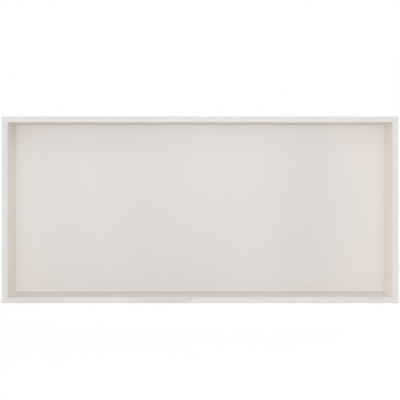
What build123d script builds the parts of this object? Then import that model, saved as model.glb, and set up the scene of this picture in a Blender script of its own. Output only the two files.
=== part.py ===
from build123d import *
import os

# A shower niche insert: one moulded shell that goes into a hole in a tiled wall,
# with a trim round its mouth that covers the cut edge of the tiles.
# X runs along the width, Y goes into the wall and Z is up. The origin is the middle of
# the mouth on the surface of the tiles, the plane that the back of the trim rests on.

# Driving dimensions, in millimetres and degrees
mouth_width = 660.0  # clear width at the front
mouth_height = 300.0  # clear height at the front
overall_depth = 100.0  # from the face of the trim to the outside of the back panel
wall = 3.0  # thickness of the shell
trim_overlap = 7.0  # how far the trim covers the tiles, past the outside of the shell
trim_thickness = 4.0  # how far the trim stands out from the tiles
side_draft = 0.5  # the sides and the top lean in towards the back, to leave the mould
shelf_fall = 0.5  # the shelf falls towards the front, so that water runs out
inside_radius = 2.0  # where two walls meet, and where they meet the back panel
mouth_radius = 1.2  # where the face of the trim turns into the niche
trim_radius = 1.2  # corners and front edge of the trim
root_radius = 1.0  # behind the trim, where it meets the outside of the shell

# Sizes and planes that follow from them
niche_depth = overall_depth - wall
trim_width = mouth_width + 2 * (wall + trim_overlap)
trim_height = mouth_height + 2 * (wall + trim_overlap)
tile_level = 0.0
face_level = tile_level - trim_thickness
mouth_plane = Plane(origin=(0, face_level, 0), x_dir=(1, 0, 0), z_dir=(0, 1, 0))


def tapered_block(grow):
    # The space inside the shell, larger by grow on every side but the front:
    # the sides and the top lean in, and the shelf rises, from the mouth to the back
    outline = mouth_plane * Rectangle(mouth_width + 2 * grow, mouth_height + 2 * grow)
    block = extrude(outline, amount=niche_depth + grow)
    sides = block.faces().filter_by(Axis.X)
    top = block.faces().sort_by(Axis.Z)[-1]
    block = draft([*sides, top], mouth_plane, side_draft)
    shelf = block.faces().sort_by(Axis.Z)[0]
    block = draft(shelf, mouth_plane, shelf_fall)
    front_edges = block.edges().group_by(Axis.Y)[0]
    return fillet(block.edges() - front_edges, inside_radius + grow)


def trim_plate():
    # The trim before its opening is cut, rounded everywhere but where it lies on the tiles
    plate = extrude(mouth_plane * Rectangle(trim_width, trim_height), amount=trim_thickness)
    tile_edges = plate.edges().group_by(Axis.Y)[-1]
    return fillet(plate.edges() - tile_edges, trim_radius)


def edges_round_hole(solid, level):
    # The edges of the hole in the flat ring that lies at Y = level
    flat_faces = solid.faces().filter_by(Axis.Y)
    ring = flat_faces.sort_by(lambda face: abs(face.center().Y - level))[0]
    return ring.inner_wires()[0].edges()


def niche_shell():
    # The trim and the outside of the shell in one, hollowed to an even wall
    body = trim_plate() + tapered_block(wall) - tapered_block(0)
    shell = body.solid()
    shell = shell.fillet(mouth_radius, edges_round_hole(shell, face_level))
    return shell.fillet(root_radius, edges_round_hole(shell, tile_level))


shell = niche_shell()
os.makedirs("parts", exist_ok=True)
export_step(shell, "parts/niche_shell.step")
print("trim", trim_width, "x", trim_height, "mm, shell", round(shell.volume / 1000, 1), "cm3")
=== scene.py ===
import math
from types import SimpleNamespace
import bpy
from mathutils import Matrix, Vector


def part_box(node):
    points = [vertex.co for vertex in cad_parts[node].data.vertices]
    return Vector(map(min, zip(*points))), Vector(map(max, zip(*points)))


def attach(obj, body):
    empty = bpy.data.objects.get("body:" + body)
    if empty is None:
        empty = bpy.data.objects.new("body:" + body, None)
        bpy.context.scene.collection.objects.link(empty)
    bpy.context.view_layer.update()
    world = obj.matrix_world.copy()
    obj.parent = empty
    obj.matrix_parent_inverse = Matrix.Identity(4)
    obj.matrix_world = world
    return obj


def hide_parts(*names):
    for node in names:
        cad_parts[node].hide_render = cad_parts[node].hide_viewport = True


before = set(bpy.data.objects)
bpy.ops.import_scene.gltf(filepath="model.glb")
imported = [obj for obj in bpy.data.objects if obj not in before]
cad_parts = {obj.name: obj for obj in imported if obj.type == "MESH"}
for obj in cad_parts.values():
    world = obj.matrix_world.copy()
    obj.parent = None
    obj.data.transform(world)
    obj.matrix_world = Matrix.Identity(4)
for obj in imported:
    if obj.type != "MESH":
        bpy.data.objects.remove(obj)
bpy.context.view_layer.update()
boxLow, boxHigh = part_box("niche_shell")
boxSize = boxHigh - boxLow
print("frame loaded, niche of", [round(side, 4) for side in boxSize], "m")


class Wire:  # a node's socket that can stand in a sum
    def __init__(self, socket):
        self.socket = socket

    def calc(self, operation, *parts):
        board = Board(self.socket.id_data)
        return board.node("ShaderNodeMath", {"operation": operation}, dict(enumerate(parts)))

    def other(self, name):  # another output of the same node
        return Wire(self.socket.node.outputs[name])

    def __add__(self, part):
        return self.calc("ADD", self, part)

    def __radd__(self, part):
        return self.calc("ADD", part, self)

    def __sub__(self, part):
        return self.calc("SUBTRACT", self, part)

    def __rsub__(self, part):
        return self.calc("SUBTRACT", part, self)

    def __mul__(self, part):
        return self.calc("MULTIPLY", self, part)

    def __rmul__(self, part):
        return self.calc("MULTIPLY", part, self)

    def __truediv__(self, part):
        return self.calc("DIVIDE", self, part)

    def __rtruediv__(self, part):
        return self.calc("DIVIDE", part, self)

    def __mod__(self, part):
        return self.calc("MODULO", self, part)

    def __floordiv__(self, part):
        return self.calc("FLOOR", self / part)

    def __neg__(self):
        return self.calc("MULTIPLY", self, -1.0)

    def __abs__(self):
        return self.calc("ABSOLUTE", self)

    def __gt__(self, part):
        return self.calc("GREATER_THAN", self, part)

    def __lt__(self, part):
        return self.calc("LESS_THAN", self, part)


class Board:  # a node tree that nodes are put on
    def __init__(self, tree):
        self.tree = tree

    def node(self, kind, settings=None, sockets=None, out=0):
        made = self.tree.nodes.new(kind)
        for name, value in (settings or {}).items():
            setattr(made, name, value)
        for name, value in (sockets or {}).items():
            wires = value if isinstance(value, list) else [value]  # a list goes to a socket of many links
            for wire in wires:
                if isinstance(wire, Wire):
                    self.tree.links.new(wire.socket, made.inputs[name])
                else:
                    made.inputs[name].default_value = wire
        return Wire(made.outputs[out]) if made.outputs else None


def sine(wire):
    return wire.calc("SINE", wire)


def cosine(wire):
    return wire.calc("COSINE", wire)


def tangent(wire):
    return wire.calc("TANGENT", wire)


def larger(first, second):
    return first.calc("MAXIMUM", first, second)


def smaller(first, second):
    return first.calc("MINIMUM", first, second)


def fading(wire):  # 1 at 0 and below, dying away above
    return wire.calc("EXPONENT", -larger(wire, 0.0))


def newGeometryTree(name, inputs):
    tree = bpy.data.node_groups.new(name, "GeometryNodeTree")
    for label, kind in inputs.items():
        tree.interface.new_socket(name=label, in_out="INPUT", socket_type="NodeSocket" + kind)
    tree.interface.new_socket(name="Geometry", in_out="OUTPUT", socket_type="NodeSocketGeometry")
    board = Board(tree)
    entry = board.node("NodeGroupInput")
    return board, {label: entry.other(label) for label in inputs}


# one band of the shell: a strip that runs round the mouth from one ring to the next
def ringBandTree():
    board, given = newGeometryTree("ring band", {
        "Mouth Width": "Float", "Mouth Height": "Float",
        "Start Offset": "Float", "Start Depth": "Float", "Start Corner": "Float",
        "End Offset": "Float", "End Depth": "Float", "End Corner": "Float",
        "Rounded": "Bool", "Across First": "Bool",
        "Steps": "Int", "Corner Steps": "Int", "Outside": "Float"})
    quarter = math.pi / 2
    steps, cornerSteps = given["Steps"], given["Corner Steps"]
    rows, arcPoints = steps + 1, cornerSteps + 1
    columns = arcPoints * 4
    grid = board.node("GeometryNodeMeshGrid", None, {"Vertices X": columns + 1, "Vertices Y": rows})
    index = board.node("GeometryNodeInputIndex")
    column, row = (index // rows) % columns, index % rows
    corner = column // arcPoints
    turn = (corner + (column % arcPoints) / cornerSteps) * quarter
    middle = corner * quarter + quarter / 2
    signX, signZ = cosine(middle) * math.sqrt(2), sine(middle) * math.sqrt(2)

    share = row / steps
    early, late = sine(share * quarter), 1 - cosine(share * quarter)

    def course(whenAcrossFirst, whenAlongFirst):  # how far along the band a row is
        curve = board.node("GeometryNodeSwitch", {"input_type": "FLOAT"}, {
            "Switch": given["Across First"], "False": whenAlongFirst, "True": whenAcrossFirst})
        return board.node("GeometryNodeSwitch", {"input_type": "FLOAT"}, {
            "Switch": given["Rounded"], "False": share, "True": curve})

    def between(name, part):
        return given["Start " + name] + (given["End " + name] - given["Start " + name]) * part

    across, along = course(early, late), course(late, early)
    offset, radius = between("Offset", across), between("Corner", across)
    depth = between("Depth", along)
    placeX = signX * (given["Mouth Width"] / 2 + offset - radius) + radius * cosine(turn)
    placeZ = signZ * (given["Mouth Height"] / 2 + offset - radius) + radius * sine(turn)
    place = board.node("ShaderNodeCombineXYZ", None, {"X": placeX, "Y": depth, "Z": placeZ})
    band = board.node("GeometryNodeSetPosition", None, {"Geometry": grid, "Position": place})

    # flat stretches stay flat, rounds and the corners of the walls are shaded smooth
    straight = (index // steps) % arcPoints > cornerSteps - 0.5  # faces between two corners
    goesBack = abs(given["End Depth"] - given["Start Depth"]) > 0.0
    curved = larger(given["Rounded"], goesBack * (1 - straight))
    band = board.node("GeometryNodeSetShadeSmooth", {"domain": "FACE"}, {
        "Geometry": band, "Shade Smooth": curved})
    band = board.node("GeometryNodeStoreNamedAttribute", {"data_type": "FLOAT", "domain": "FACE"}, {
        "Geometry": band, "Name": "outside", "Value": given["Outside"]})
    board.node("NodeGroupOutput", None, {"Geometry": band})
    return board.tree


# the moulded shell: bands from the middle of the rear, round the trim, to the middle of the back panel
shellForm = {
    "Trim Width": boxSize.x,
    "Trim Height": boxSize.z,
    "Trim Thickness": -boxLow.y,
    "Trim Overlap": 0.007,  # past the outside of the shell, over the tiles
    "Trim Radius": 0.0012,
    "Mouth Radius": 0.0012,
    "Root Radius": 0.001,  # behind the trim, where it meets the outside of the shell
    "Rear Depth": boxHigh.y,  # outside of the back panel, from the tiles
    "Wall": 0.003,
    "Draft": math.radians(0.5),  # the walls lean in towards the back
    "Inside Radius": 0.002,
    "Round Steps": 10,
    "Corner Steps": 10,
    "Seam Width": 0.000002,  # points nearer to each other than this become one
}


def nicheShellTree():
    kinds = {label: "Int" if label.endswith("Steps") else "Float" for label in shellForm}
    board, given = newGeometryTree("niche shell", {**kinds, "Material": "Material"})
    wall, draft = given["Wall"], given["Draft"]
    overhang = wall + given["Trim Overlap"]
    mouthWidth, mouthHeight = given["Trim Width"] - overhang * 2, given["Trim Height"] - overhang * 2
    centre = mouthHeight * -0.5  # this far in, a ring closes to a line
    face, rear = -given["Trim Thickness"], given["Rear Depth"]
    panel = rear - wall
    slope, upright, lean = tangent(draft), cosine(draft), sine(draft)

    def roundOff(radius, depth, wallOffset, inward):  # where a round leaves the wall, and where it ends
        atWall = wallOffset - (depth - face) * slope
        end = atWall - inward * (radius / upright)
        return (end + inward * (radius * upright), depth + inward * (radius * lean)), end

    inside, mouth = given["Inside Radius"], given["Mouth Radius"]
    trim, root = given["Trim Radius"], given["Root Radius"]
    outer = inside + wall
    rearWall, rearEnd = roundOff(outer, rear - outer, wall, 1)
    rootWall, rootEnd = roundOff(root, root, wall, -1)
    mouthWall, mouthEnd = roundOff(mouth, face + mouth, 0.0, -1)
    insideWall, insideEnd = roundOff(inside, panel - inside, 0.0, 1)

    # each ring's offset from the mouth, depth and corner radius, and how the band from there goes on
    flat, acrossFirst, alongFirst = (False, False), (True, True), (True, False)
    outsideRings = [
        ((centre, rear, 0.0), flat),  # middle of the rear
        ((rearEnd, rear, 0.0), acrossFirst),
        ((*rearWall, outer), flat),  # outside of the walls
        ((*rootWall, outer), alongFirst),
        ((rootEnd, 0.0, outer + root), flat),  # back of the trim, on the tiles
    ]
    insideRings = [
        ((overhang, 0.0, trim), flat),  # edge of the trim
        ((overhang, face + trim, trim), alongFirst),
        ((overhang - trim, face, 0.0), flat),  # face of the trim
        ((mouthEnd, face, inside + mouth), acrossFirst),
        ((*mouthWall, inside), flat),  # inside of the walls
        ((*insideWall, inside), alongFirst),
        ((insideEnd, panel, 0.0), flat),  # back panel
        ((centre, panel, 0.0), flat),
    ]
    rings = outsideRings + insideRings
    bandTree = ringBandTree()
    bands = []
    for number, ((start, way), (end, _)) in enumerate(zip(rings, rings[1:])):
        sockets = {"Mouth Width": mouthWidth, "Mouth Height": mouthHeight}
        sockets.update(zip(("Start Offset", "Start Depth", "Start Corner"), start))
        sockets.update(zip(("End Offset", "End Depth", "End Corner"), end))
        sockets.update(zip(("Rounded", "Across First"), way))
        sockets["Steps"] = given["Round Steps"] if way[0] else 1
        sockets["Corner Steps"] = given["Corner Steps"]
        sockets["Outside"] = 1.0 if number < len(outsideRings) else 0.0
        bands.append(board.node("GeometryNodeGroup", {"node_tree": bandTree}, sockets))
    joined = board.node("GeometryNodeJoinGeometry", None, {"Geometry": bands})
    merged = board.node("GeometryNodeMergeByDistance", None, {
        "Geometry": joined, "Distance": given["Seam Width"]})
    real = board.node("GeometryNodeRealizeInstances", None, {"Geometry": merged})
    dressed = board.node("GeometryNodeSetMaterial", None, {
        "Geometry": real, "Material": given["Material"]})
    board.node("NodeGroupOutput", None, {"Geometry": dressed})
    return board.tree


def buildFromTree(name, tree, values):
    maker = bpy.data.objects.new(name + "Maker", bpy.data.meshes.new(name + "Seed"))
    bpy.context.scene.collection.objects.link(maker)
    modifier = maker.modifiers.new("nodes", "NODES")
    modifier.node_group = tree
    for item in tree.interface.items_tree:
        if item.item_type == "SOCKET" and item.in_out == "INPUT":
            modifier[item.identifier] = values[item.name]
    graph = bpy.context.evaluated_depsgraph_get()
    mesh = bpy.data.meshes.new_from_object(maker.evaluated_get(graph))
    maker.modifiers.clear()
    bpy.data.objects.remove(maker)
    mesh.name = name
    mesh.materials.clear()  # the grids bring an empty slot with them
    mesh.materials.append(values["Material"])
    piece = bpy.data.objects.new(name, mesh)
    bpy.context.scene.collection.objects.link(piece)
    return piece


# warm off-white moulding: satin where it is seen, duller outside, where it goes into the wall
shellFinish = {  # lengths in metres, scales per metre, and a shade below 0 lightens
    "colour": (0.838, 0.80, 0.762),
    "ior": 1.5,
    "roughness": 0.42,
    "roughnessSpread": 0.08,
    "patchScale": 7.0,  # broad patches
    "patchStretch": (1.0, 1.0, 0.35),  # drawn out from top to bottom
    "patchDetail": 3.0,
    "patchSeed": 109.0,
    "patchShade": 0.08,
    "speckScale": 900.0,
    "speckDetail": 1.0,
    "speckShade": 0.008,
    "rippleScale": 14.0,
    "rippleDetail": 1.0,
    "rippleHeight": 0.00008,
    "grainScale": 1400.0,
    "grainDetail": 0.0,
    "grainHeight": 0.000004,
    "outsideShade": 0.04,  # the side that isn't polished
    "outsideRoughness": 0.2,
    "outsideGrain": 6.0,  # times the grain's height, added to it
    "wallShadeTint": (1.0, 0.973, 0.962),  # painted shade: the inside of the walls is darkened and warmed a little
    "wallFade": 0.0006,
    "shelfPaintedShade": -0.06,  # painted light: the shelf is lightened, as if lit from above
    "undersidePaintedShade": 0.06,  # painted shade: the underside of the top is darkened
    "streakScale": 30.0,  # breaks up the marks, the painted shade and highlights among them
    "streakDetail": 2.0,
    "wornRoughness": 0.15,
    "rimShadeColour": (0.66, 0.66, 0.65),  # painted shade: the outer edge of the trim is darkened
    "rimWidth": 0.0012,
    "rimShadeShare": 0.5,
    "creaseShadeColour": (0.62, 0.56, 0.50),  # painted shade in the creases where the walls meet the back panel
    "creaseWidth": 0.003,
    "creaseShare": 0.05,
    "shelfLineDepth": 0.010,  # more of the painted shade lies along the back of the shelf
    "shelfLineHeight": 0.0002,
    "shelfLineShare": 0.75,
    "filletHighlightColour": (0.95, 0.88, 0.815),  # painted highlight: a pale line on the round just above the shelf
    "filletHighlightHeight": 0.0022,
    "filletHighlightWidth": 0.0012,
    "filletHighlightShare": 0.9,
    "facePaintedShade": 0.025,  # painted shade: the face of the trim is darkened a little
    "faceFade": 0.0012,
    "lowerLipPaintedShade": 0.022,  # painted shade: more so on the lip below the mouth
    "lowerLipFade": 0.006,  # past the ends of the mouth
    "edgeWidth": 0.0006,
    "lowerEdgePaintedShade": 0.16,  # painted shade on the rounded edge below the mouth
    "upperEdgePaintedHighlight": -0.1,  # painted highlight on the rounded edge above the mouth
    "greyMarkColour": (0.61, 0.615, 0.59),  # grey mark on the lower lip, from left to right
    "greyMarkLeft": -0.094,
    "greyMarkRight": -0.013,
    "greyMarkDrop": 0.0052,  # below the mouth
    "greyMarkWidth": 0.0022,
    "greyMarkFade": 0.004,  # at both ends
    "greyMarkBend": 0.016,  # the last stretch, which turns up
    "greyMarkRise": 0.0045,
    "greyMarkShare": 0.95,
}


# how far a point is from the surfaces and edges that the marks follow
def shellPlaces(board, coords):
    form = shellForm
    overhang = form["Wall"] + form["Trim Overlap"]
    halfWidth, halfHeight = form["Trim Width"] / 2 - overhang, form["Trim Height"] / 2 - overhang
    edge = halfHeight + form["Mouth Radius"] / 2  # middle of the round at the mouth
    across = board.node("ShaderNodeSeparateXYZ", None, {0: coords})
    depth, up = across.other("Y"), across.other("Z")
    behindFace = depth + form["Trim Thickness"]
    lean = behindFace * math.tan(form["Draft"])  # the walls have come in by this
    toRim = smaller(form["Trim Width"] / 2 - abs(across), form["Trim Height"] / 2 - abs(up))
    return SimpleNamespace(
        across=across,
        behindFace=behindFace,
        toBack=larger(form["Rear Depth"] - form["Wall"] - depth, 0.0),
        toWall=smaller(halfWidth - lean - abs(across), halfHeight - lean - abs(up)),
        toShelf=halfHeight - lean + up,
        toTop=halfHeight - lean - up,
        toRim=toRim,
        offRim=toRim > overhang / 2,  # 1 past the middle of the lips, 0 on the trim's outer edge
        overSill=up + halfHeight,  # the sill is the lower edge of the mouth
        toLowerEdge=abs(up + edge),
        toUpperEdge=abs(up - edge),
        pastMouth=larger(abs(across) - halfWidth, 0.0),
    )


# how much of each mark is at a point
def shellMarks(place, outside, streaks):
    finish = shellFinish
    onFace = fading(place.behindFace / finish["faceFade"])
    underSill = fading(place.overSill / finish["faceFade"])
    inNiche = (1 - outside) * (1 - onFace) * place.offRim
    # inside mask for painted shade in the creases and a painted highlight above the shelf
    paintedCreaseShading = (1 - outside) * streaks
    overLine = larger(place.toShelf, 0.0) / finish["shelfLineHeight"]
    toFilletHighlight = abs(place.toShelf - finish["filletHighlightHeight"]) + place.toBack
    bend = larger(place.across - (finish["greyMarkRight"] - finish["greyMarkBend"]), 0.0) / finish["greyMarkBend"]
    toGreyMark = abs(place.overSill + finish["greyMarkDrop"] - bend * bend * finish["greyMarkRise"])
    pastGreyMark = larger(larger(finish["greyMarkLeft"] - place.across, place.across - finish["greyMarkRight"]), 0.0)
    greyMark = fading(toGreyMark / finish["greyMarkWidth"] + pastGreyMark / finish["greyMarkFade"])
    return SimpleNamespace(
        onFace=onFace,
        onWall=fading(place.toWall / finish["wallFade"]) * inNiche,
        onShelf=fading(place.toShelf / finish["wallFade"]) * inNiche,
        onTop=fading(place.toTop / finish["wallFade"]) * inNiche,
        crease=fading((place.toBack + larger(place.toWall, 0.0)) / finish["creaseWidth"]) * paintedCreaseShading,
        shelfLine=fading(place.toBack / finish["shelfLineDepth"] + overLine) * paintedCreaseShading,
        filletHighlight=fading(toFilletHighlight / finish["filletHighlightWidth"]) * paintedCreaseShading,
        lowerLipShade=underSill * fading(place.pastMouth / finish["lowerLipFade"]) * streaks,
        lowerEdgeShade=fading((place.toLowerEdge + place.pastMouth) / finish["edgeWidth"]) * onFace * streaks,
        upperEdgeHighlight=fading((place.toUpperEdge + place.pastMouth) / finish["edgeWidth"]) * onFace * streaks,
        rim=fading(place.toRim / finish["rimWidth"]) * (1 - underSill) * streaks,
        greyMark=greyMark * onFace * streaks,
    )


# the plain colour in its shade, with the marks laid over it one after another
def shellColour(board, shade, marks):
    finish = shellFinish

    def over(under, share, colour, how="MIX"):  # 6, 7 and 2 are the sockets for colours
        settings = {"data_type": "RGBA", "blend_type": how}
        return board.node("ShaderNodeMix", settings, {0: share, 6: under, 7: colour}, 2)

    def paint(name):
        return (*finish[name], 1.0)

    grey = board.node("ShaderNodeCombineColor", None, {0: shade, 1: shade, 2: shade})
    colour = over(paint("colour"), 1.0, grey, "MULTIPLY")
    # painted shade on the inside of the walls
    colour = over(colour, marks.onWall, paint("wallShadeTint"), "MULTIPLY")
    # painted shade on the outer edge of the trim
    colour = over(colour, marks.rim * finish["rimShadeShare"], paint("rimShadeColour"))
    colour = over(colour, marks.greyMark * finish["greyMarkShare"], paint("greyMarkColour"))
    # painted shade in the creases and along the back of the shelf
    paintedCreaseShading = marks.crease * finish["creaseShare"] + marks.shelfLine * finish["shelfLineShare"]
    colour = over(colour, paintedCreaseShading, paint("creaseShadeColour"))
    # painted highlight on the round just above the shelf
    return over(colour, marks.filletHighlight * finish["filletHighlightShare"], paint("filletHighlightColour"))


def shellMaterial():
    finish = shellFinish
    material = bpy.data.materials.new("satinMoulding")
    material.use_nodes = True
    material.node_tree.nodes.clear()
    board = Board(material.node_tree)
    coords = board.node("ShaderNodeTexCoord", None, None, "Object")
    outside = board.node("ShaderNodeAttribute", {"attribute_name": "outside"}, None, "Fac")

    def noise(kind):  # from 0 to 1, about 0.5 on the whole
        return board.node("ShaderNodeTexNoise", None, {
            "Vector": coords, "Scale": finish[kind + "Scale"], "Detail": finish[kind + "Detail"]})

    drawn = board.node("ShaderNodeMapping", None, {"Vector": coords, "Scale": finish["patchStretch"]})
    patches = board.node("ShaderNodeTexNoise", {"noise_dimensions": "4D"}, {
        "Vector": drawn, "W": finish["patchSeed"],
        "Scale": finish["patchScale"], "Detail": finish["patchDetail"]}) - 0.5
    specks = noise("speck") - 0.5
    marks = shellMarks(shellPlaces(board, coords), outside, 0.5 + noise("streak"))

    shade = (1 + patches * (2 * finish["patchShade"]) + specks * (2 * finish["speckShade"])
             - outside * finish["outsideShade"]
             # painted light on the shelf
             # painted shade under the top
             - marks.onShelf * finish["shelfPaintedShade"] - marks.onTop * finish["undersidePaintedShade"]
             # painted shade on the face of the trim
             # painted shade on the lip below the mouth
             - marks.onFace * (finish["facePaintedShade"] + marks.lowerLipShade * finish["lowerLipPaintedShade"])
             # painted highlight on the rounded edge above the mouth
             # painted shade on the rounded edge below the mouth
             - marks.lowerEdgeShade * finish["lowerEdgePaintedShade"] - marks.upperEdgeHighlight * finish["upperEdgePaintedHighlight"])
    roughness = (finish["roughness"] + patches * finish["roughnessSpread"]
                 + outside * finish["outsideRoughness"]
                 + (marks.rim + marks.shelfLine) * finish["wornRoughness"])
    height = (noise("ripple") * finish["rippleHeight"]
              + noise("grain") * ((1 + outside * finish["outsideGrain"]) * finish["grainHeight"]))
    bump = board.node("ShaderNodeBump", None, {"Strength": 1.0, "Distance": 1.0, "Height": height})
    surface = board.node("ShaderNodeBsdfPrincipled", None, {
        "Base Color": shellColour(board, shade, marks),
        "Roughness": roughness, "IOR": finish["ior"], "Normal": bump})
    board.node("ShaderNodeOutputMaterial", None, {"Surface": surface})
    return material


shellPiece = buildFromTree("shellMoulding", nicheShellTree(), {**shellForm, "Material": shellMaterial()})
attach(shellPiece, "root")
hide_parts("niche_shell")
print("shell made,", len(shellPiece.data.vertices), "points and", len(shellPiece.data.polygons), "faces")


# floor under the trim, white to the eye, with the shadow left on it
floorLook = {
    "size": 14.0,
    "colour": (0.8, 0.8, 0.8),
    "glow": 0.415,  # added for the eye alone, so that the lit floor is white
    "fadeStart": 1.2,  # metres from the niche, where the floor begins to turn plain white
    "fadeEnd": 3.0,
}


def seenBy(board):  # 1 for what the camera sees, also in a reflection or through glass
    rays = board.node("ShaderNodeLightPath", None, None, "Is Camera Ray")
    return larger(larger(rays, rays.other("Is Glossy Ray")), rays.other("Is Transmission Ray"))


def floorMaterial():
    material = bpy.data.materials.new("paleFloor")
    material.use_nodes = True
    material.node_tree.nodes.clear()
    board = Board(material.node_tree)
    paint = board.node("ShaderNodeBsdfDiffuse", None, {"Color": (*floorLook["colour"], 1.0)})
    glow = board.node("ShaderNodeEmission", None, {"Strength": floorLook["glow"]})
    lit = board.node("ShaderNodeAddShader", None, {0: paint, 1: glow})
    coords = board.node("ShaderNodeTexCoord", None, None, "Object")
    away = board.node("ShaderNodeVectorMath", {"operation": "LENGTH"}, {0: coords}, "Value")
    fade = board.node("ShaderNodeMapRange", {"interpolation_type": "SMOOTHSTEP"}, {
        "Value": away, "From Min": floorLook["fadeStart"], "From Max": floorLook["fadeEnd"]})
    white = board.node("ShaderNodeEmission", None, {"Strength": 1.0})
    seen = board.node("ShaderNodeMixShader", None, {0: fade, 1: lit, 2: white})
    mixed = board.node("ShaderNodeMixShader", None, {0: seenBy(board), 1: paint, 2: seen})
    board.node("ShaderNodeOutputMaterial", None, {"Surface": mixed})
    return material


def makeFloor():
    half = floorLook["size"] / 2
    corners = [(-half, -half), (half, -half), (half, half), (-half, half)]
    mesh = bpy.data.meshes.new("floor")
    mesh.from_pydata([(x, y, boxLow.z) for x, y in corners], [], [(0, 1, 2, 3)])
    mesh.materials.append(floorMaterial())
    floor = bpy.data.objects.new("floor", mesh)
    bpy.context.scene.collection.objects.link(floor)


# soft panels round the niche, and an even light from all over
studio = {
    "ambient": 0.298,
    "panels": {  # place, size, watts, tint
        "frontPanel": ((0.0, -3.0, 0.4), (0.8, 0.8), 7.8, (0.90, 1.0, 1.2)),
        "eyePanel": ((0.0, -2.6, 0.02), (1.6, 0.3), 13.9, (1.0, 1.0, 1.02)),
        "highPanel": ((0.0, -2.6, 1.5), (1.6, 1.0), 4.6, (1.03, 1.0, 0.96)),
        "leftPanel": ((-2.9, -0.45, 0.14), (0.5, 0.55), 25.0, (1.05, 1.0, 0.90)),
        "rightPanel": ((2.8, -0.8, 0.36), (1.0, 0.95), 17.4, (0.98, 1.0, 0.98)),
        "topPanel": ((0.0, -0.2, 2.6), (2.0, 1.6), 23.0, (1.05, 1.0, 0.94)),
        "rearPanel": ((0.4, 3.2, 0.4), (2.4, 1.0), 30.0, (1.0, 1.0, 1.0)),
    },
}


def hangPanels():
    for name, (place, size, watts, tint) in studio["panels"].items():
        lamp = bpy.data.lights.new(name, "AREA")
        lamp.shape = "RECTANGLE"
        lamp.size, lamp.size_y = size
        lamp.energy = watts
        lamp.color = tint
        panel = bpy.data.objects.new(name, lamp)
        panel.location = place
        panel.rotation_euler = (-Vector(place)).to_track_quat("-Z", "Y").to_euler()  # aimed at the niche
        panel.visible_camera = False
        bpy.context.scene.collection.objects.link(panel)


def lightAllRound():
    world = bpy.data.worlds.new("studio")
    world.use_nodes = True
    world.node_tree.nodes.clear()
    board = Board(world.node_tree)
    strength = studio["ambient"] + seenBy(board) * (1 - studio["ambient"])  # white to the eye
    sky = board.node("ShaderNodeBackground", None, {"Color": (1.0, 1.0, 1.0, 1.0), "Strength": strength})
    board.node("ShaderNodeOutputWorld", None, {"Surface": sky})
    bpy.context.scene.world = world


# where the trim's edges are in the picture, in pixels, and the pixel straight in front of the lens
shot = {
    "imageSize": 400,
    "left": 1.73,
    "right": 398.27,
    "top": 116.54,
    "bottom": 303.08,
    "eye": (210.0, 168.0),
    "distance": 2.42,  # metres from the face of the trim
    "sensor": 36.0,  # millimetres
}


def aimCamera():
    perPixel = boxSize.x / (shot["right"] - shot["left"])
    middleX, middleY = (shot["left"] + shot["right"]) / 2, (shot["top"] + shot["bottom"]) / 2
    eyeX, eyeY = shot["eye"]
    half = shot["imageSize"] / 2
    lens = bpy.data.cameras.new("shot")
    lens.sensor_width = shot["sensor"]
    lens.lens = shot["sensor"] * shot["distance"] / (shot["imageSize"] * perPixel)
    lens.shift_x = (half - eyeX) / shot["imageSize"]
    lens.shift_y = (eyeY - half) / shot["imageSize"]
    camera = bpy.data.objects.new("shot", lens)
    centre = (boxLow + boxHigh) / 2
    camera.location.x = centre.x + (eyeX - middleX) * perPixel
    camera.location.y = boxLow.y - shot["distance"]
    camera.location.z = centre.z - (eyeY - middleY) * perPixel
    camera.rotation_euler = (math.pi / 2, 0, 0)  # level, straight at the back panel
    bpy.context.scene.collection.objects.link(camera)
    bpy.context.scene.camera = camera


makeFloor()
hangPanels()
lightAllRound()
aimCamera()
bpy.context.scene.view_settings.view_transform = "Standard"
print("floor, lights and camera set")
